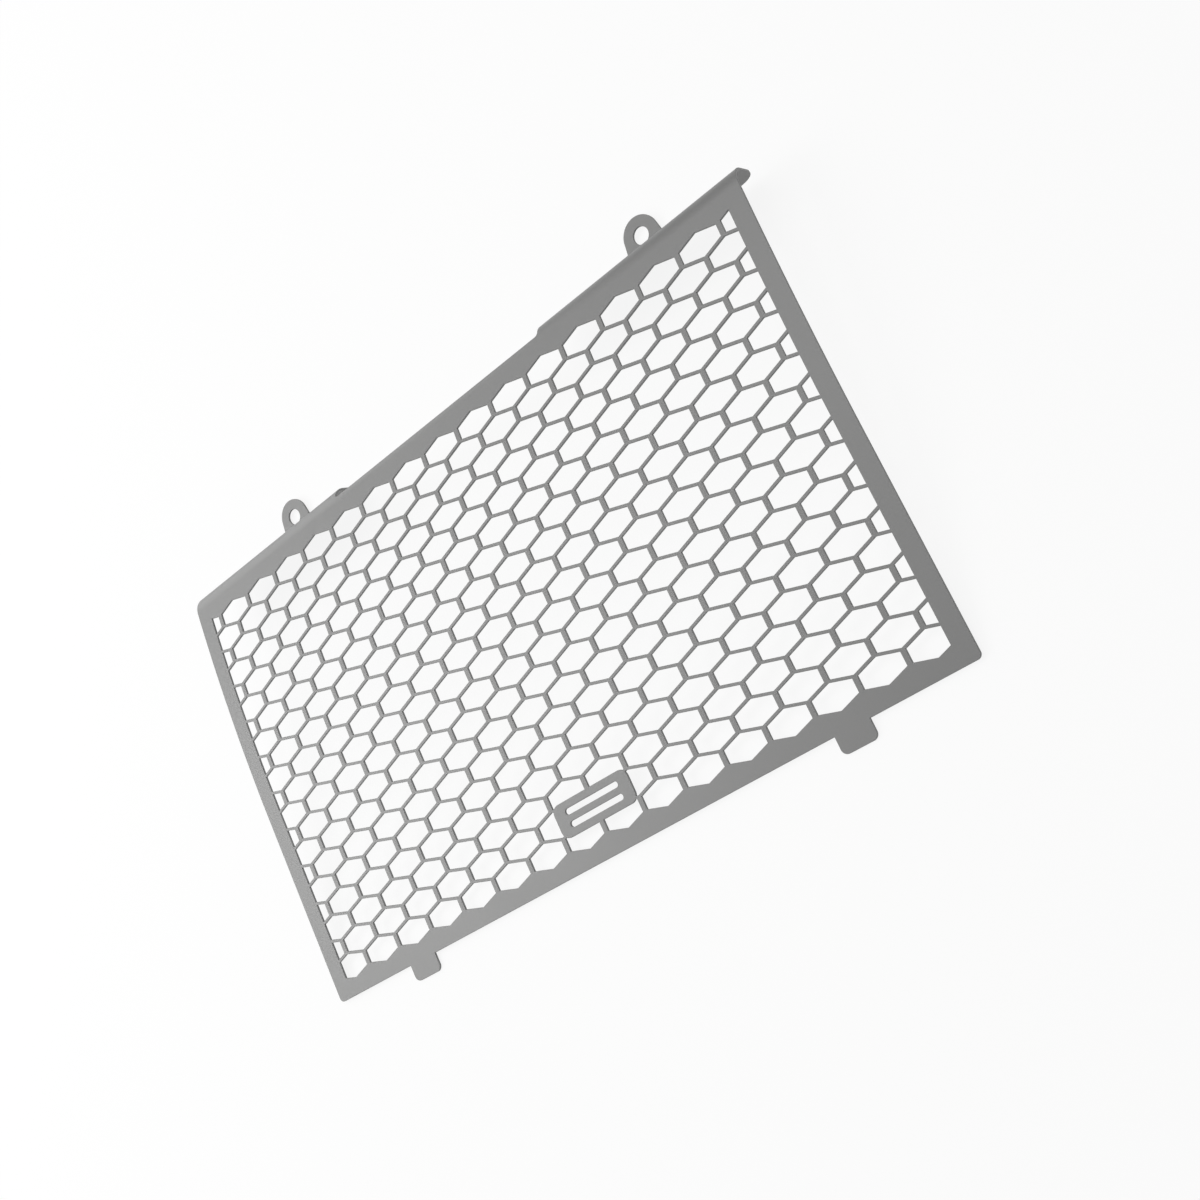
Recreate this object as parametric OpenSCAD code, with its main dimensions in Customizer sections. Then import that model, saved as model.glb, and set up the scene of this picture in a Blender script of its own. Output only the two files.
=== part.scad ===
// Motorcycle radiator guard: one sheet of metal, cut with a honeycomb mesh and then folded.
// It lies face up: X runs along the guard, Y from its lower edge to its ears, Z up.

/* [Face] */
// Overall width of the guard
guard_w = 320.5; // [300:0.5:340]
// Thickness of the sheet
sheet = 1; // [0.8:0.1:1.5]
// Metal left between the mesh and each side edge
side_border = 7.7; // [5:0.1:12]
// Metal left below the points of the lowest cells
bottom_border = 6.6; // [4:0.1:12]
// Metal left above the points of the highest cells
top_border = 8.1; // [5:0.1:14]
// Radius of the two lower corners
corner_r = 2; // [1:0.5:6]

/* [Mesh] */
// Number of rows of cells
rows = 20; // [14:2:22]
// Distance between the cells of one row
col_pitch = 19.6; // [16:0.1:24]
// Distance between the rows
row_pitch = 8.6; // [7.4:0.1:9.4]
// Width of the upright ribs
upright_rib = 2.2; // [1.6:0.1:3]
// Width of the slanted ribs
slant_rib = 1.2; // [0.8:0.1:2]

/* [Plain panel] */
// Width of the plain panel in the mesh
panel_w = 38; // [30:1:46]
// Height of the plain panel
panel_h = 13.4; // [11:0.1:16]
// Corner radius of the plain panel
panel_r = 3.5; // [2:0.5:5]
// Length of each slot in the panel
slot_len = 27; // [18:1:28]
// Width of each slot in the panel
slot_w = 2.4; // [1.5:0.1:2.8]
// Distance between the two slots
slot_gap = 5; // [4:0.1:6]

/* [Bow of the face] */
// Height of the line where the face starts to bow back, from the middle of the mesh
bow_start = -10; // [-30:1:10]
// Radius of the bow at the front of the sheet
bow_r = 900; // [700:10:1500]

/* [Wings] */
// Gap between the two wings, where the top edge has no fold
wing_gap = 122; // [90:1:150]
// Radius of the corners where the gap meets the wings
gap_r = 1.5; // [0.5:0.1:3]
// Distance from the start of the folds up to the edge of the gap
fold_drop = 3.1; // [0:0.1:4]
// Inside radius of the wings' folds
wing_fold_r = 8; // [5:0.1:9]
// Angle through which the wings are folded back
wing_fold = 78; // [70:1:88]
// Flat length of the wings between their two folds
wing_len = 14.4; // [12:0.1:20]
// Radius of the wings' free corners
wing_corner_r = 7; // [2:0.5:10]

/* [Ears] */
// Distance between the two ear holes
ear_span = 214; // [190:1:240]
// Diameter of the ear holes
ear_hole_d = 7; // [5:0.1:8.5]
// Width of the metal round each ear hole
ear_ring = 4.5; // [3:0.1:6]
// Height of the ear holes above the fold
ear_rise = 8; // [6:0.1:14]
// Angle by which each side of an ear leans outwards to its root
ear_splay = 10; // [0:1:15]
// Angle between the ears and the flat part of the face
ear_lean = 0; // [-5:1:6]
// Inside radius of the ears' folds
ear_fold_r = 3; // [2:0.1:4]
// Distance from the back edge of the wings to the ears' folds
ear_relief = 1.5; // [0.2:0.1:2]

/* [Lower tabs] */
// Distance between the middles of the two tabs
tab_span = 217; // [190:1:240]
// Width of each tab
tab_w = 14.8; // [10:0.2:20]
// Length of each tab below the lower edge
tab_len = 7.2; // [4:0.1:12]
// Radius of the tabs' corners
tab_r = 2.5; // [1:0.1:4]

/* [Hidden] */
$fn = 64;
// Flat steps that make up the bow and each fold
bow_steps = 6;
fold_steps = 10;
metal = [0.56, 0.56, 0.56];
// Length that takes a cutter clear of the sheet on every side
clear = 60;

// Cell: a wide hexagon whose sides run along the middles of the ribs round it
cell_rise = row_pitch / 3;
rib_slope = atan(cell_rise / (col_pitch / 2));
open_x = (col_pitch - upright_rib) / 2;
open_tip = 2 * cell_rise - slant_rib / 2 / cos(rib_slope);
open_side = open_tip - open_x * tan(rib_slope);

// Face, measured along the sheet from the middle of the mesh
mesh_w = guard_w - 2 * side_border;
tip_row = (rows - 1) / 2 * row_pitch;
face_top = tip_row + open_tip + top_border;
face_bottom = -tip_row - open_tip - bottom_border;
panel_y = -tip_row + row_pitch;

// Folds, in a side view whose points are [y, z]
wing_out = wing_fold_r + sheet;
ear_out = ear_fold_r + sheet;
bow_turn = (face_top - fold_drop - bow_start) / bow_r * 180 / PI;
wing_turn = bow_turn + wing_fold;
bow_axis = [bow_start, -bow_r];
fold_axis = bow_axis + spin([0, bow_r - wing_out], -bow_turn);
wing_start = fold_axis + spin([0, wing_out], -wing_turn);
ear_axis = wing_start + spin([wing_len, ear_fold_r], -wing_turn);

// Wings and ears
wing_edge = wing_len - ear_relief;
ear_r = ear_hole_d / 2 + ear_ring;
ear_top = ear_rise + ear_r;
ear_root = 2 * (ear_r / cos(ear_splay) + ear_rise * tan(ear_splay));

// Rest: the guard lies on the lower edges of its tabs and on the folds of its ears
foot = [face_bottom - tab_len, -sheet];
reach = ear_axis - foot;
rest_tilt = atan2(-reach[1], reach[0]) + asin(ear_out / norm(reach));
low_z = spin(foot, rest_tilt)[1];
front_y = spin([foot[0], 0], rest_tilt)[0];
back_y = spin(ear_axis + spin([ear_top, -ear_out], -ear_lean), rest_tilt)[0];

// Turns a [y, z] point of the side view by an angle
function spin(p, a) = [p[0] * cos(a) - p[1] * sin(a), p[0] * sin(a) + p[1] * cos(a)];

// Points of an arc in the side view, from one angle to another
function arc(axis, r, from, to, steps) =
  [for (i = [0:steps]) axis + spin([r, 0], from + (to - from) * i / steps)];

// The same list from its end to its start
function backwards(list) = [for (i = [len(list) - 1:-1:0]) list[i]];

// One side of the folded sheet, so far behind its front, from the tabs to the tops of the ears
function skin(depth) = concat(
  [[foot[0], -depth]],
  arc(bow_axis, bow_r - depth, 90, 90 - bow_turn, bow_steps),
  arc(fold_axis, wing_out - depth, 90 - bow_turn - wing_fold / fold_steps, 90 - wing_turn, fold_steps - 1),
  arc(ear_axis, ear_fold_r + depth, 270 - wing_turn, 270 - ear_lean, fold_steps),
  [ear_axis + spin([ear_top, -ear_fold_r - depth], -ear_lean)]);

// Blank: the whole sheet in its folded form, before anything is cut from it
module blank() {
  rotate([90, 0, 90])
    linear_extrude(guard_w, center = true) polygon(concat(skin(0), backwards(skin(sheet))));
}

// Three places on the folded sheet: X along the guard, Y along the sheet, Z out of its front
module on_face(y) {
  turn = max(0, y - bow_start) / bow_r * 180 / PI;
  translate([0, min(y, bow_start), -bow_r]) rotate([-turn, 0, 0]) translate([0, 0, bow_r]) children();
}
module on_wing() {
  translate([0, wing_start[0], wing_start[1]]) rotate([-wing_turn, 0, 0]) children();
}
module on_ear() {
  translate([0, ear_axis[0], ear_axis[1]]) rotate([-ear_lean, 0, 0]) translate([0, 0, -ear_fold_r]) children();
}

// Cutter with a flat outline, reaching so far below and above the front of the sheet
module punch(below = 2 * sheet, above = sheet) {
  translate([0, 0, -below]) linear_extrude(below + above) children();
}

// Rectangle with all four corners rounded
module rounded(w, h, r) {
  square([w - 2 * r, h], center = true);
  square([w, h - 2 * r], center = true);
  for (x = [-1, 1], y = [-1, 1])
    translate([x * (w / 2 - r), y * (h / 2 - r)]) circle(r);
}

// Slot with round ends
module slot(length, w) {
  square([length - w, w], center = true);
  for (x = [-1, 1])
    translate([x * (length - w) / 2, 0]) circle(w / 2);
}

// What rounding takes off a corner that points along X and Y
module corner_waste(r) {
  translate([-r, -r]) difference() {
    square(2 * r);
    circle(r);
  }
}

// Opening of one cell
module cell() {
  polygon([[open_x, -open_side], [open_x, open_side], [0, open_tip],
           [-open_x, open_side], [-open_x, -open_side], [0, -open_tip]]);
}

// Openings of one row, clipped to the mesh and kept off the plain panel
module cell_row(row, y) {
  count = ceil(mesh_w / col_pitch / 2);
  shift = row % 2 == 0 ? 0.5 : 0;
  difference() {
    intersection() {
      for (i = [-count:count])
        translate([(i + shift) * col_pitch, 0]) cell();
      square([mesh_w, 3 * row_pitch], center = true);
    }
    if (abs(y - panel_y) < panel_h / 2 + open_tip)
      translate([0, panel_y - y]) rounded(panel_w, panel_h, panel_r);
  }
}

// Mesh: rows of cells, each cut square to the sheet where the row lies
module mesh_cuts() {
  for (row = [0:rows - 1]) {
    y = row * row_pitch - tip_row;
    on_face(y) punch() cell_row(row, y);
  }
}

// Plain panel: two slots in the solid that the mesh leaves
module panel_cuts() {
  for (y = [-1, 1])
    on_face(panel_y) translate([0, y * slot_gap / 2]) punch() slot(slot_len, slot_w);
}

// Lower edge: what lies round the two tabs, and the lower corners of the face
module lower_cuts() {
  between = tab_span - tab_w;
  outside = guard_w - tab_span - tab_w;
  on_face(foot[0]) punch() {
    translate([-between / 2, -clear]) square([between, clear + tab_len]);
    for (x = [0, 1]) mirror([x, 0]) {
      translate([(tab_span + tab_w) / 2, -clear]) square([outside, clear + tab_len]);
      translate([guard_w / 2, tab_len]) mirror([0, 1]) corner_waste(corner_r);
      for (side = [0, 1])
        translate([tab_span / 2, 0]) mirror([side, 0]) translate([tab_w / 2, 0])
          mirror([0, 1]) corner_waste(tab_r);
    }
  }
}

// Top edge: the gap between the wings
module gap_cut() {
  on_face(face_top) punch(below = clear)
    translate([0, clear / 2]) rounded(wing_gap, clear, gap_r);
}

// Back edge of the wings, cut away beside the ears, and the wings' free corners
module wing_cuts() {
  between = ear_span - ear_root;
  outside = guard_w - ear_span - ear_root;
  on_wing() {
    translate([0, wing_edge, 0]) punch(above = clear) {
      translate([-between / 2, 0]) square([between, clear]);
      for (x = [0, 1]) mirror([x, 0])
        translate([(ear_span + ear_root) / 2, 0]) square([outside, clear]);
    }
    translate([0, wing_edge, 0]) punch()
      for (x = [0, 1]) mirror([x, 0]) {
        translate([guard_w / 2, 0]) corner_waste(wing_corner_r);
        translate([wing_gap / 2, 0]) mirror([1, 0]) corner_waste(wing_corner_r);
      }
  }
}

// Ears: their outline and their bolt holes
module ear_cuts() {
  for (x = [-1, 1])
    on_ear() translate([x * ear_span / 2, 0, 0]) {
      punch() difference() {
        translate([-ear_root, 0]) square([2 * ear_root, 2 * ear_top]);
        translate([0, ear_rise]) circle(ear_r);
        polygon([[-ear_root / 2, -sheet], [ear_root / 2, -sheet],
                 [ear_r * cos(ear_splay), ear_rise + ear_r * sin(ear_splay)],
                 [-ear_r * cos(ear_splay), ear_rise + ear_r * sin(ear_splay)]]);
      }
      translate([0, ear_rise, -2 * sheet]) cylinder(h = 3 * sheet, d = ear_hole_d);
    }
}

// The guard at rest, face up on a flat surface
module radiator_guard() {
  color(metal)
    translate([0, -(front_y + back_y) / 2, -low_z]) rotate([rest_tilt, 0, 0])
      difference() {
        blank();
        mesh_cuts();
        panel_cuts();
        lower_cuts();
        gap_cut();
        wing_cuts();
        ear_cuts();
      }
}

radiator_guard();
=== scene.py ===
import math

import bmesh
import bpy
import numpy as np
from mathutils import Matrix, Vector


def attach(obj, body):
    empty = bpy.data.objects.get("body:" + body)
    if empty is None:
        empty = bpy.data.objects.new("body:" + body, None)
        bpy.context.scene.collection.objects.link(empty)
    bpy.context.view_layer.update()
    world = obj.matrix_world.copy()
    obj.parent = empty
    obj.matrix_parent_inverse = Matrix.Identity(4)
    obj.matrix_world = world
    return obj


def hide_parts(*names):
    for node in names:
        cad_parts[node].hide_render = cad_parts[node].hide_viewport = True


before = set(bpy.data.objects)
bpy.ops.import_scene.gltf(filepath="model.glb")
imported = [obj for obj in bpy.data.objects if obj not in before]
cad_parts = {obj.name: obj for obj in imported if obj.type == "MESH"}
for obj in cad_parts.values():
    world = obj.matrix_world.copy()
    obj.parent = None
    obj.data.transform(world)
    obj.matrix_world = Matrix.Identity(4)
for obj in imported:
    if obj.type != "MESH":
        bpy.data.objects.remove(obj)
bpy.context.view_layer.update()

# The finish: a satin grey powder coat, baked over the whole sheet and its cut edges alike.
# It is even from a step away; close up it has fine metallic grains, a faint cloudiness and
# the shallow ripple that powder leaves when it melts. Its lengths are in metres.
COAT_GREY = (0.235, 0.235, 0.233)
COAT_METAL = 0.25
COAT_ROUGHNESS = 0.46
GRAIN = 0.00035
GRAIN_TONE = 0.10  # how far the grains lighten and darken the grey
CLOUD = 0.045
CLOUD_TONE = 0.05
CLOUD_ROUGHNESS = 0.06
RIPPLE = 0.0011
RIPPLE_SHARE = 0.7  # of the relief; the grains make the rest of it
RELIEF = 0.00004
RELIEF_STRENGTH = 0.12


class Wire:
    """A socket of a node tree; + - * / and % on it add Math nodes."""

    def __init__(self, tree, socket):
        self.tree, self.socket = tree, socket

    def maths(self, operation, *values):
        return self.tree.node("ShaderNodeMath", dict(enumerate(values)), operation=operation)

    def __add__(self, other):
        return self.maths("ADD", self, other)

    def __sub__(self, other):
        return self.maths("SUBTRACT", self, other)

    def __mul__(self, other):
        return self.maths("MULTIPLY", self, other)

    def __truediv__(self, other):
        return self.maths("DIVIDE", self, other)

    def __mod__(self, other):
        return self.maths("MODULO", self, other)

    __radd__ = __add__

    def rounded(self):
        return self.maths("ROUND", self)


class Tree:
    """A node tree under construction, of a material, the world or a Geometry Nodes group."""

    def __init__(self, nodes):
        self.nodes = nodes

    def node(self, kind, inputs=None, out=0, **settings):
        """Adds a node and gives its output named out, or each output that a list names.

        An input takes a value, a Wire, or a list of Wires where the socket joins several.
        """
        made = self.nodes.nodes.new(kind)
        for name, value in settings.items():
            setattr(made, name, value)
        for key, value in (inputs or {}).items():
            for each in value if isinstance(value, list) else [value]:
                if isinstance(each, Wire):
                    self.nodes.links.new(each.socket, made.inputs[key])
                else:
                    made.inputs[key].default_value = each
        if isinstance(out, list):
            return [Wire(self, made.outputs[name]) for name in out]
        return Wire(self, made.outputs[out]) if len(made.outputs) else None


def bare(owner):
    """The owner's node tree, emptied."""
    owner.use_nodes = True
    owner.node_tree.nodes.clear()
    return Tree(owner.node_tree)


def coat_material():
    """The powder coat, on Object coordinates."""
    coat = bpy.data.materials.new("satin_grey_coat")
    tree = bare(coat)
    place = tree.node("ShaderNodeTexCoord", out="Object")

    def noise(size, detail):
        inputs = {"Vector": place, "Scale": 1 / size, "Detail": detail}
        return tree.node("ShaderNodeTexNoise", inputs, "Fac")

    grain, cloud, ripple = noise(GRAIN, 2.0), noise(CLOUD, 3.0), noise(RIPPLE, 2.0)
    tone = (grain - 0.5) * GRAIN_TONE + (cloud - 0.5) * CLOUD_TONE + 1.0
    colour = tree.node("ShaderNodeVectorMath", {0: COAT_GREY, "Scale": tone}, operation="SCALE")
    height = ripple * RIPPLE_SHARE + grain * (1 - RIPPLE_SHARE)
    bump = tree.node("ShaderNodeBump", {
        "Strength": RELIEF_STRENGTH, "Distance": RELIEF, "Height": height})
    skin = tree.node("ShaderNodeBsdfPrincipled", {
        "Base Color": colour, "Metallic": COAT_METAL, "Normal": bump,
        "Roughness": COAT_ROUGHNESS + (cloud - 0.5) * CLOUD_ROUGHNESS})
    tree.node("ShaderNodeOutputMaterial", {"Surface": skin})
    return coat


coat = coat_material()

# The blank: one flat piece of 1 mm steel sheet, cut by laser to the guard's unfolded outline.
# Until it is folded, X runs along the guard, Y along the sheet from the middle of the mesh and
# Z out of its front, in millimetres. The coat leaves every cut edge slightly round.
SHEET = 1.0
EDGE_ROUND = 0.14
EDGE_STEPS = 3
ARC_STEP = math.radians(5)
SAME_POINT = 1e-6
SPARE = 10.0  # how far the stock reaches past the guard
OVER = 1.0  # how far a die reaches past each face of the sheet

GUARD_W = 320.5
SIDE_BORDER = 7.7
BOTTOM_BORDER = 6.6
TOP_BORDER = 8.1
CORNER_R = 2.0

ROWS = 20
COL_PITCH = 19.6
ROW_PITCH = 8.6
UPRIGHT_RIB = 2.2
SLANT_RIB = 1.2

BOW_START = -10.0
BOW_R = 900.0

WING_GAP = 122.0
GAP_R = 1.5
FOLD_DROP = 3.1  # from the top of the face down to the start of the wings' fold
WING_FOLD_R = 8.0
WING_FOLD = math.radians(78)
WING_LEN = 14.4
WING_CORNER_R = 7.0

EAR_SPAN = 214.0
EAR_HOLE_D = 7.0
EAR_RING = 4.5
EAR_RISE = 8.0  # from the end of the ear's fold to its hole
EAR_SPLAY = math.radians(10)
EAR_FOLD_R = 3.0
EAR_RELIEF = 1.5  # how far the wing is cut back beside the ear's fold

TAB_SPAN = 217.0
TAB_W = 14.8
TAB_LEN = 7.2
TAB_R = 2.5

# One cell's opening, and how far the mesh, its borders and the tabs reach
cell_rise = ROW_PITCH / 3
rib_slope = math.atan(cell_rise / (COL_PITCH / 2))
open_x = (COL_PITCH - UPRIGHT_RIB) / 2
open_tip = 2 * cell_rise - SLANT_RIB / 2 / math.cos(rib_slope)
open_side = open_tip - open_x * math.tan(rib_slope)
tip_row = (ROWS - 1) / 2 * ROW_PITCH
face_top = tip_row + open_tip + TOP_BORDER
face_bottom = -tip_row - open_tip - BOTTOM_BORDER
foot = face_bottom - TAB_LEN

# Where each bend starts and ends along the sheet, from the bow up to the ears
fold_start = face_top - FOLD_DROP
bow_turn = (fold_start - BOW_START) / BOW_R
wing_start = fold_start + (WING_FOLD_R + SHEET) * WING_FOLD
wing_back = wing_start + WING_LEN - EAR_RELIEF
ear_fold = wing_start + WING_LEN
ear_start = ear_fold + EAR_FOLD_R * (bow_turn + WING_FOLD)
ear_r = EAR_HOLE_D / 2 + EAR_RING
ear_half = ear_r / math.cos(EAR_SPLAY) + EAR_RISE * math.tan(EAR_SPLAY)
ear_top = ear_start + EAR_RISE + ear_r


def path(corners):
    """Closed outline through corners (x, y, radius), each rounded by its radius."""
    spots = np.array([corner[:2] for corner in corners], float)
    points = []
    for i, here in enumerate(spots):
        r = corners[i][2]
        if not r:
            points.append(here)
            continue
        before, after = spots[i - 1] - here, spots[(i + 1) % len(spots)] - here
        before, after = before / np.hypot(*before), after / np.hypot(*after)
        half = math.acos(np.clip(before @ after, -1, 1)) / 2
        middle = (before + after) / np.hypot(*(before + after))
        centre = here + middle * r / math.sin(half)
        first, last = (here + way * r / math.tan(half) - centre for way in (before, after))
        start, end = math.atan2(first[1], first[0]), math.atan2(last[1], last[0])
        sweep = (end - start + math.pi) % math.tau - math.pi
        steps = max(2, math.ceil(abs(sweep) / ARC_STEP))
        turns = start + sweep * np.arange(steps + 1) / steps
        points += [centre + r * np.array((math.cos(turn), math.sin(turn))) for turn in turns]
    points = np.array(points)
    apart = np.hypot(*(points - np.roll(points, 1, axis=0)).T)
    return points[apart > SAME_POINT]


def grown(outline, by):
    """The outline, moved outwards by a length."""
    ahead = np.roll(outline, -1, axis=0) - outline
    ahead /= np.hypot(*ahead.T)[:, None]
    out = np.stack((ahead[:, 1], -ahead[:, 0]), axis=1)
    last = np.roll(out, 1, axis=0)
    return outline + by * (out + last) / (1 + (out * last).sum(axis=1))[:, None]


def stamp(name, outline, flare):
    """A die on an outline that passes through the sheet, wider by flare at both faces of it."""
    turns = [math.pi / 2 * k / EDGE_STEPS for k in range(EDGE_STEPS + 1)]
    front = [(EDGE_ROUND * (1 - math.cos(turn)), flare * (1 - math.sin(turn))) for turn in turns]
    back = [(SHEET - depth, wide) for depth, wide in reversed(front)]
    levels = [(-OVER, flare), *front, *back, (SHEET + OVER, flare)]
    n = len(outline)
    verts = [(x, y, -depth) for depth, wide in levels for x, y in grown(outline, wide)]
    ends = [tuple(range(n)), tuple(range(len(verts) - 1, len(verts) - n - 1, -1))]
    walls = [(level + n + i, level + n + (i + 1) % n, level + (i + 1) % n, level + i)
             for level in range(0, len(verts) - n, n) for i in range(n)]
    mesh = bpy.data.meshes.new(name)
    mesh.from_pydata(verts, [], ends + walls)
    return bpy.data.objects.new(name, mesh)


def stock(name):
    """A plain strip of sheet, wider and longer than the guard."""
    x, low, high = GUARD_W / 2 + SPARE, foot - SPARE, ear_top + SPARE
    corners = [(-x, low), (x, low), (x, high), (-x, high)]
    verts = [(*corner, z) for z in (-SHEET, 0.0) for corner in corners]
    walls = [(i, (i + 1) % 4, (i + 1) % 4 + 4, i + 4) for i in range(4)]
    mesh = bpy.data.meshes.new(name)
    mesh.from_pydata(verts, [], [(3, 2, 1, 0), (4, 5, 6, 7), *walls])
    return bpy.data.objects.new(name, mesh)


tab_in, tab_out = TAB_SPAN / 2 - TAB_W / 2, TAB_SPAN / 2 + TAB_W / 2
ear_in, ear_out = EAR_SPAN / 2 - ear_half, EAR_SPAN / 2 + ear_half
half_outline = [
    (tab_in, face_bottom, 0), (tab_in, foot, TAB_R),
    (tab_out, foot, TAB_R), (tab_out, face_bottom, 0),
    (GUARD_W / 2, face_bottom, CORNER_R), (GUARD_W / 2, wing_back, WING_CORNER_R),
    (ear_out, wing_back, 0), (ear_out, ear_start, 0),
    (EAR_SPAN / 2, ear_start + ear_half / math.tan(EAR_SPLAY), ear_r),
    (ear_in, ear_start, 0), (ear_in, wing_back, 0),
    (WING_GAP / 2, wing_back, WING_CORNER_R), (WING_GAP / 2, face_top, GAP_R)]
outline = path(half_outline + [(-x, y, r) for x, y, r in reversed(half_outline)])
blank = stock("blank")
outline_die = stamp("outline_die", outline, -EDGE_ROUND)

# The holes: a honeycomb of wide hexagons, cut off square at the sides of the mesh, and a plain
# panel with two slots low in its middle. One bolt hole goes through each ear. The laser cuts
# them all while the sheet is flat, so each wall stands square to the sheet.
PANEL_W = 38.0
PANEL_H = 13.4
PANEL_R = 3.5
SLOT_LEN = 27.0
SLOT_W = 2.4
SLOT_GAP = 5.0

mesh_w = GUARD_W - 2 * SIDE_BORDER
window_h = 4 * tip_row  # well past the first and last rows, so that it trims only the sides
columns = math.ceil(mesh_w / COL_PITCH) + 2  # one more on each side, for the window to trim
panel_y = -tip_row + ROW_PITCH


def box_path(w, h, r, y=0.0):
    """Outline of a box w by h with corners of radius r, its middle on the Y axis at y."""
    corners = ((-1, -1), (1, -1), (1, 1), (-1, 1))
    return path([(side * w / 2, y + end * h / 2, r) for side, end in corners])


cell = np.array([
    (open_x, -open_side), (open_x, open_side), (0, open_tip),
    (-open_x, open_side), (-open_x, -open_side), (0, -open_tip)])
cell_die = stamp("cell_die", cell, EDGE_ROUND)
window_die = stamp("window_die", box_path(mesh_w, window_h, 0), EDGE_ROUND)
panel_die = stamp("panel_die", box_path(PANEL_W, PANEL_H, PANEL_R, panel_y), -EDGE_ROUND)
slot_die = stamp("slot_die", box_path(SLOT_LEN, SLOT_W, SLOT_W / 2), EDGE_ROUND)
bolt_die = stamp("bolt_die", box_path(EAR_HOLE_D, EAR_HOLE_D, EAR_HOLE_D / 2), EDGE_ROUND)


def cutting_tree():
    """Geometry Nodes that cut the stock to its outline and make all its holes."""
    group = bpy.data.node_groups.new("cut_guard", "GeometryNodeTree")
    kinds = {
        "Geometry": "Geometry", "Rows": "Int", "Columns": "Int", "Column Pitch": "Float",
        "Row Pitch": "Float", "Slot Gap": "Float", "Panel Y": "Float", "Ear Span": "Float",
        "Hole Y": "Float", "Outline": "Object", "Cell": "Object", "Window": "Object",
        "Panel": "Object", "Slot": "Object", "Bolt": "Object", "Coat": "Material"}
    for name, kind in kinds.items():
        group.interface.new_socket(name, in_out="INPUT", socket_type="NodeSocket" + kind)
    group.interface.new_socket("Geometry", in_out="OUTPUT", socket_type="NodeSocketGeometry")
    tree = Tree(group)
    given = dict(zip(kinds, tree.node("NodeGroupInput", out=list(kinds))))

    def die(name):
        return tree.node("GeometryNodeObjectInfo", {"Object": given[name]}, "Geometry",
                         transform_space="ORIGINAL")

    def common(*meshes):
        """What all the meshes share."""
        return tree.node("GeometryNodeMeshBoolean", {1: list(meshes)},
                         operation="INTERSECT", solver="MANIFOLD")

    def cut(mesh, *tools):
        """What the tools leave of a mesh."""
        return tree.node("GeometryNodeMeshBoolean", {0: mesh, 1: list(tools)},
                         operation="DIFFERENCE", solver="MANIFOLD")

    def pair(name, axis, gap, middle):
        """Two of a die, a gap apart along an axis, on both sides of a middle on Y."""
        apart = tree.node("ShaderNodeCombineXYZ", {axis: gap})
        back = tree.node("ShaderNodeVectorMath", {0: apart, "Scale": -0.5}, operation="SCALE")
        spot = tree.node("ShaderNodeCombineXYZ", {"Y": middle})
        first = tree.node("ShaderNodeVectorMath", {0: back, 1: spot}, operation="ADD")
        line = tree.node("GeometryNodeMeshLine", {
            "Count": 2, "Start Location": first, "Offset": apart}, mode="OFFSET")
        return tree.node("GeometryNodeInstanceOnPoints", {"Points": line, "Instance": die(name)})

    # The honeycomb: every second row moves sideways by half a cell
    across, along = given["Column Pitch"], given["Row Pitch"]
    wide, tall = (given["Columns"] - 1) * across, (given["Rows"] - 1) * along
    grid = tree.node("GeometryNodeMeshGrid", {
        "Size X": wide, "Size Y": tall, "Vertices X": given["Columns"], "Vertices Y": given["Rows"]})
    place = tree.node("GeometryNodeInputPosition")
    high = tree.node("ShaderNodeSeparateXYZ", {"Vector": place}, "Y")
    row = ((high + tall / 2) / along).rounded()
    stagger = tree.node("ShaderNodeCombineXYZ", {"X": row % 2 * across / 2})
    spots = tree.node("GeometryNodeSetPosition", {"Geometry": grid, "Offset": stagger})
    cells = tree.node("GeometryNodeInstanceOnPoints", {"Points": spots, "Instance": die("Cell")})
    cells = tree.node("GeometryNodeRealizeInstances", {"Geometry": cells})
    honeycomb = cut(common(cells, die("Window")), die("Panel"))

    # The sheet: the stock inside the outline, less the honeycomb, the slots and the bolt holes
    slots = pair("Slot", "Y", given["Slot Gap"], given["Panel Y"])
    bolts = pair("Bolt", "X", given["Ear Span"], given["Hole Y"])
    sheet = cut(common(given["Geometry"], die("Outline")), honeycomb, slots, bolts)
    whole = tree.node("GeometryNodeRealizeInstances", {"Geometry": sheet})
    coated = tree.node("GeometryNodeSetMaterial", {"Geometry": whole, "Material": given["Coat"]})
    tree.node("NodeGroupOutput", {"Geometry": coated})
    return group


bpy.context.scene.collection.objects.link(blank)
cutting = blank.modifiers.new("cutting", "NODES")
cutting.node_group = cutting_tree()
choices = {
    "Rows": ROWS, "Columns": columns, "Column Pitch": COL_PITCH, "Row Pitch": ROW_PITCH,
    "Slot Gap": SLOT_GAP, "Panel Y": panel_y, "Ear Span": EAR_SPAN, "Hole Y": ear_start + EAR_RISE,
    "Outline": outline_die, "Cell": cell_die, "Window": window_die, "Panel": panel_die,
    "Slot": slot_die, "Bolt": bolt_die, "Coat": coat}
for socket in cutting.node_group.interface.items_tree:
    if socket.in_out == "INPUT" and socket.name in choices:
        cutting[socket.identifier] = choices[socket.name]
bpy.context.view_layer.update()
cut_blank = blank.evaluated_get(bpy.context.evaluated_depsgraph_get())
cut_mesh = bpy.data.meshes.new_from_object(cut_blank)
for tool in (blank, outline_die, cell_die, window_die, panel_die, slot_die, bolt_die):
    bpy.data.objects.remove(tool)

# The folds: the face is bowed back in a long curve over its upper half, a brake folds the two
# wings back over the radiator, and folds the ears up again parallel to the face. The guard then
# lies face up, on its lower tabs and on the folds of its ears.
BOW_STEPS = 24
WING_STEPS = 24
EAR_STEPS = 16
RUN_ON = 1.0  # the sheet's two ends run on straight, for points that lie a hair past them
ON_LINE = 1e-5  # a point this near a crease lies on it
FLAT = 0.999  # a face that looks this straight along Z is the front or the back
TINY = 1e-9  # keeps a face with no sideways direction from dividing by zero
MM_PER_METRE = 1000


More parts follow.
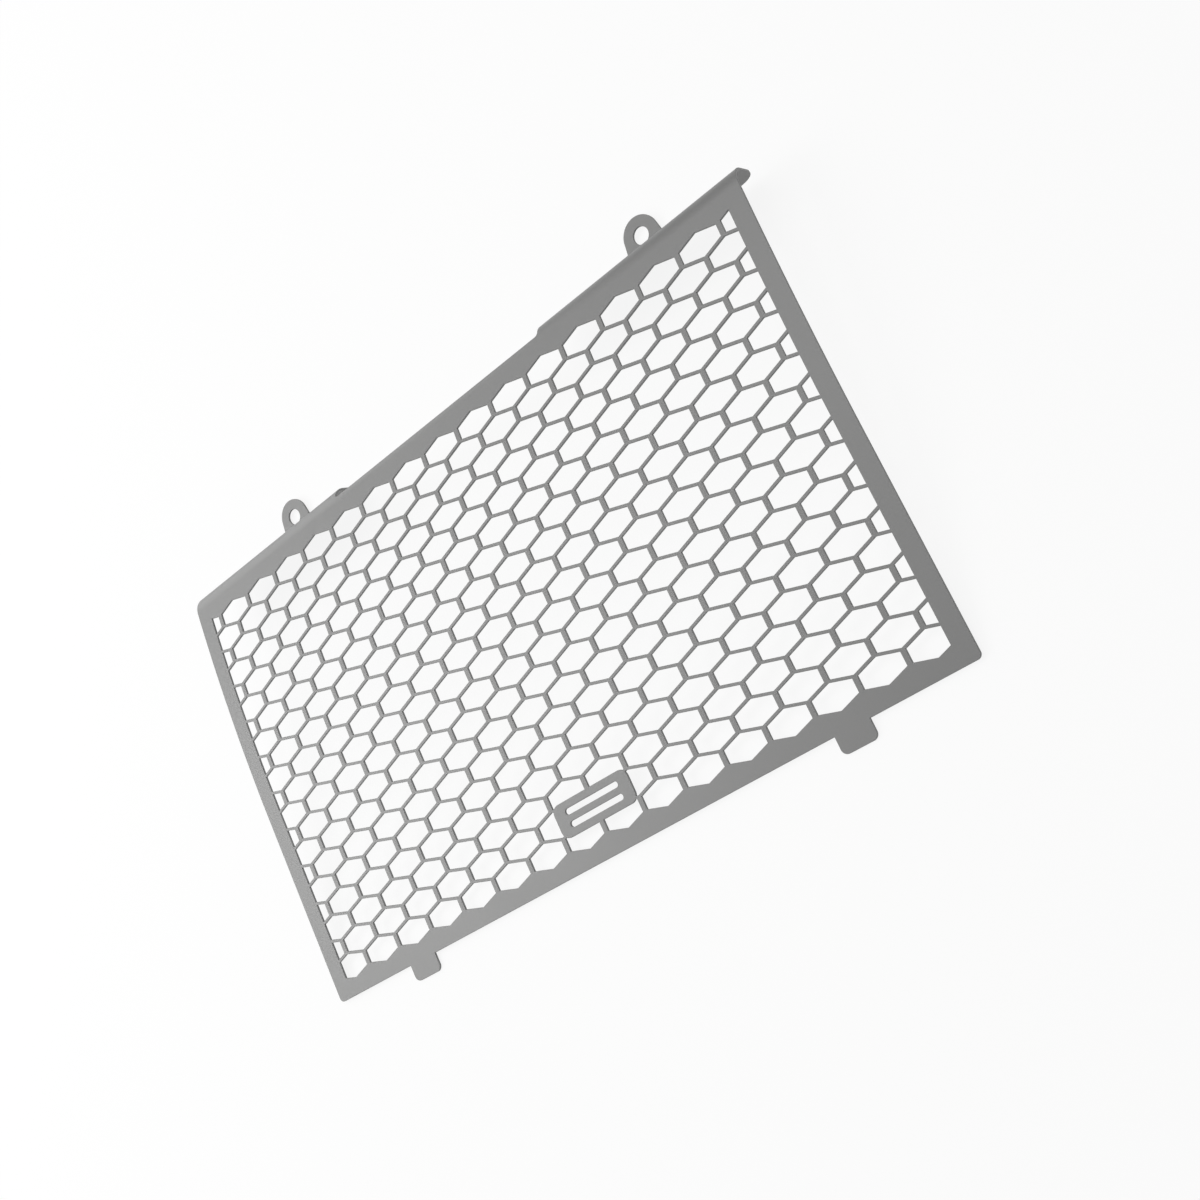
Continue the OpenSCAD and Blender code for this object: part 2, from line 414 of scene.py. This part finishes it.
def creased(mesh, lines):
    """Cuts every face of the flat guard along lines across it, so that the folds can turn it."""
    sheet = bmesh.new()
    sheet.from_mesh(mesh)
    bmesh.ops.triangulate(sheet, faces=sheet.faces)
    for line in lines:
        parts = [*sheet.verts, *sheet.edges, *sheet.faces]
        bmesh.ops.bisect_plane(
            sheet, geom=parts, dist=ON_LINE, plane_co=(0, line, 0), plane_no=(0, 1, 0))
    sheet.to_mesh(mesh)
    sheet.free()


def bent(along):
    """Where places along the flat front lie once it is folded, and how far it has turned there."""
    stretches = [
        (foot, BOW_START, 0.0), (BOW_START, fold_start, 1 / BOW_R),
        (fold_start, wing_start, 1 / (WING_FOLD_R + SHEET)), (wing_start, ear_fold, 0.0),
        (ear_fold, ear_start, -1 / EAR_FOLD_R), (ear_start, ear_top, 0.0)]
    y, z, turn = np.full_like(along, foot), np.zeros_like(along), np.zeros_like(along)
    angle = 0.0
    for start, end, bend in stretches:
        before = RUN_ON if start == foot else 0.0
        beyond = RUN_ON if end == ear_top else 0.0
        run = np.clip(along - start, -before, end - start + beyond)
        if bend:
            y += (np.sin(angle + bend * run) - math.sin(angle)) / bend
            z += (np.cos(angle + bend * run) - math.cos(angle)) / bend
        else:
            y += run * math.cos(angle)
            z -= run * math.sin(angle)
        turn += bend * run
        angle += bend * (end - start)
    return y, z, turn


def folded(spots):
    """Places on the flat guard, carried to the folded one."""
    y, z, turn = bent(spots[:, 1])
    out = spots[:, 2]
    return np.stack((spots[:, 0], y + out * np.sin(turn), z + out * np.cos(turn)), axis=1)


def turned(spots, ways):
    """Directions at places on the flat guard, turned as the folds turn those places."""
    turn = bent(spots[:, 1])[2]
    sin, cos = np.sin(turn), np.cos(turn)
    x, y, z = ways.T
    return np.stack((x, y * cos + z * sin, z * cos - y * sin), axis=1)


# At rest: tilted about X until the back of the tabs' feet and the ears' folds share one level
wing_turn = bow_turn + WING_FOLD
ear_fold_front, tab_foot_back = folded(np.array([(0.0, ear_fold, 0.0), (0.0, foot, -SHEET)]))
ear_axis = ear_fold_front + EAR_FOLD_R * np.array((0, math.sin(wing_turn), math.cos(wing_turn)))
reach = ear_axis - tab_foot_back
reach_angle = math.atan2(-reach[2], reach[1])
rest_tilt = reach_angle + math.asin((EAR_FOLD_R + SHEET) / math.hypot(reach[1], reach[2]))
rest_turn = np.array(Matrix.Rotation(rest_tilt, 3, "X"))
ends = np.array([(0.0, foot, 0.0), (0.0, foot, -SHEET), (0.0, ear_top, -SHEET)])
front_foot, back_foot, ear_end = folded(ends) @ rest_turn.T
rest_shift = np.array((0.0, -(front_foot[1] + ear_end[1]) / 2, -back_foot[2]))


def read(items, name, width=1, kind=float):
    """One property of all items of a mesh."""
    values = np.empty(len(items) * width, kind)
    items.foreach_get(name, values)
    return values.reshape(-1, width) if width > 1 else values


def face_ways(mesh, spots):
    """Directions that the flat guard's faces look in at each of their corners, with round rims."""
    facing = np.repeat(
        read(mesh.polygons, "normal", 3), read(mesh.polygons, "loop_total", kind=int), axis=0)
    depth = -spots[:, 2]
    near_front = np.clip((EDGE_ROUND - depth) / EDGE_ROUND, 0, 1)
    near_back = np.clip((depth - SHEET + EDGE_ROUND) / EDGE_ROUND, 0, 1)
    side = facing[:, :2] / np.maximum(np.hypot(*facing[:, :2].T), TINY)[:, None]
    flat = np.abs(facing[:, 2]) > FLAT
    up = np.where(flat, np.sign(facing[:, 2]), near_front - near_back)
    return np.column_stack((side * np.sqrt(np.maximum(1 - up**2, 0))[:, None], up))


bow_lines = np.linspace(BOW_START, fold_start, BOW_STEPS + 1)
wing_lines = np.linspace(fold_start, wing_start, WING_STEPS + 1)[1:]
ear_lines = np.linspace(ear_fold, ear_start, EAR_STEPS + 1)
creased(cut_mesh, [*bow_lines, *wing_lines, *ear_lines])
spots = read(cut_mesh.vertices, "co", 3)
corners = spots[read(cut_mesh.loops, "vertex_index", kind=int)]
ways = turned(corners, face_ways(cut_mesh, corners)) @ rest_turn.T
places = (folded(spots) @ rest_turn.T + rest_shift) / MM_PER_METRE
cut_mesh.vertices.foreach_set("co", places.ravel())
cut_mesh.polygons.foreach_set("use_smooth", np.ones(len(cut_mesh.polygons), bool))
cut_mesh.normals_split_custom_set(ways.tolist())
cut_mesh.update()
cut_mesh.name = "folded_guard"
guard = bpy.data.objects.new("folded_guard", cut_mesh)
bpy.context.scene.collection.objects.link(guard)
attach(guard, "root")
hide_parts("radiator_guard")

# The table: a matt white surface that runs out of sight, on which the guard lies. What the
# camera sees of it is mostly plain white, and the rest of it is lit, so that it keeps the
# faint shadow of the guard.
TABLE_HALF = 12.0
TABLE_PAINT = (0.9, 0.9, 0.9, 1)
PLAIN_WHITE = 0.88
WHITE = (1, 1, 1, 1)

table_corners = [(x * TABLE_HALF, y * TABLE_HALF, 0.0) for x, y in ((-1, -1), (1, -1), (1, 1), (-1, 1))]
table_mesh = bpy.data.meshes.new("table")
table_mesh.from_pydata(table_corners, [], [(0, 1, 2, 3)])
table = bpy.data.objects.new("table", table_mesh)
bpy.context.scene.collection.objects.link(table)
table_finish = bpy.data.materials.new("white_table")
tree = bare(table_finish)
camera_ray, glossy_ray, clear_ray = tree.node(
    "ShaderNodeLightPath", out=["Is Camera Ray", "Is Glossy Ray", "Is Transmission Ray"])
seen = camera_ray + glossy_ray + clear_ray
lit = tree.node("ShaderNodeBsdfDiffuse", {"Color": TABLE_PAINT})
plain = tree.node("ShaderNodeEmission", {"Color": WHITE, "Strength": 1.0})
both = tree.node("ShaderNodeMixShader", {0: seen * PLAIN_WHITE, 1: lit, 2: plain})
tree.node("ShaderNodeOutputMaterial", {"Surface": both})
table_mesh.materials.append(table_finish)

# The room: plain white where the camera sees it, and lit so dimly that the lamps shape the
# sheet. Three soft square lamps stand 1.1 m from the guard and face it: one high on its left,
# a low one behind its left end, which lights the wings' fold, and one almost overhead.
ROOM_LIGHT = 0.32
LAMP_SIZE = 0.7

world = bpy.data.worlds.new("room")
bpy.context.scene.world = world
tree = bare(world)
seen = tree.node("ShaderNodeLightPath", out="Is Camera Ray")
walls = tree.node("ShaderNodeBackground", {
    "Color": WHITE, "Strength": ROOM_LIGHT + seen * (1 - ROOM_LIGHT)})
tree.node("ShaderNodeOutputWorld", {"Surface": walls})


def lamp(name, place, watts):
    """A soft square lamp at a place, facing the guard."""
    light = bpy.data.lights.new(name, "AREA")
    light.size, light.energy = LAMP_SIZE, watts
    made = bpy.data.objects.new(name, light)
    made.location = place
    made.rotation_euler = Vector(place).to_track_quat("Z", "Y").to_euler()
    bpy.context.scene.collection.objects.link(made)


lamp("left_lamp", (-0.778, 0.0, 0.778), 5.7)
lamp("back_lamp", (-0.731, 0.731, 0.376), 3.1)
lamp("top_lamp", (0.0, 0.376, 1.034), 3.0)

# The camera: above the guard's right-hand lower corner and turned so that the mesh climbs to the
# right, as in the photograph. Its place and its axes are those found from the cells, given in the
# frame of the sheet's lower half, in millimetres, and turned with the guard to its rest.
CAMERA_PLACE = np.array((334.72, -144.16, 474.11))
CAMERA_AXES = np.array((
    (0.71657, -0.41201, -0.56283),
    (0.47309, 0.88002, -0.04189),
    (0.51256, -0.23625, 0.82551)))
LENS = 46.83
SENSOR = 36.0
NEAREST, FARTHEST = 0.01, 20.0

view = bpy.data.cameras.new("view")
view.lens, view.sensor_width = LENS, SENSOR
view.clip_start, view.clip_end = NEAREST, FARTHEST
camera = bpy.data.objects.new("camera", view)
bpy.context.scene.collection.objects.link(camera)
axes = Matrix((rest_turn @ CAMERA_AXES.T).tolist()).to_quaternion().normalized()
place = (rest_turn @ CAMERA_PLACE + rest_shift) / MM_PER_METRE
camera.matrix_world = Matrix.Translation(place) @ axes.to_matrix().to_4x4()
bpy.context.scene.camera = camera

bpy.context.scene.view_settings.view_transform = "Standard"
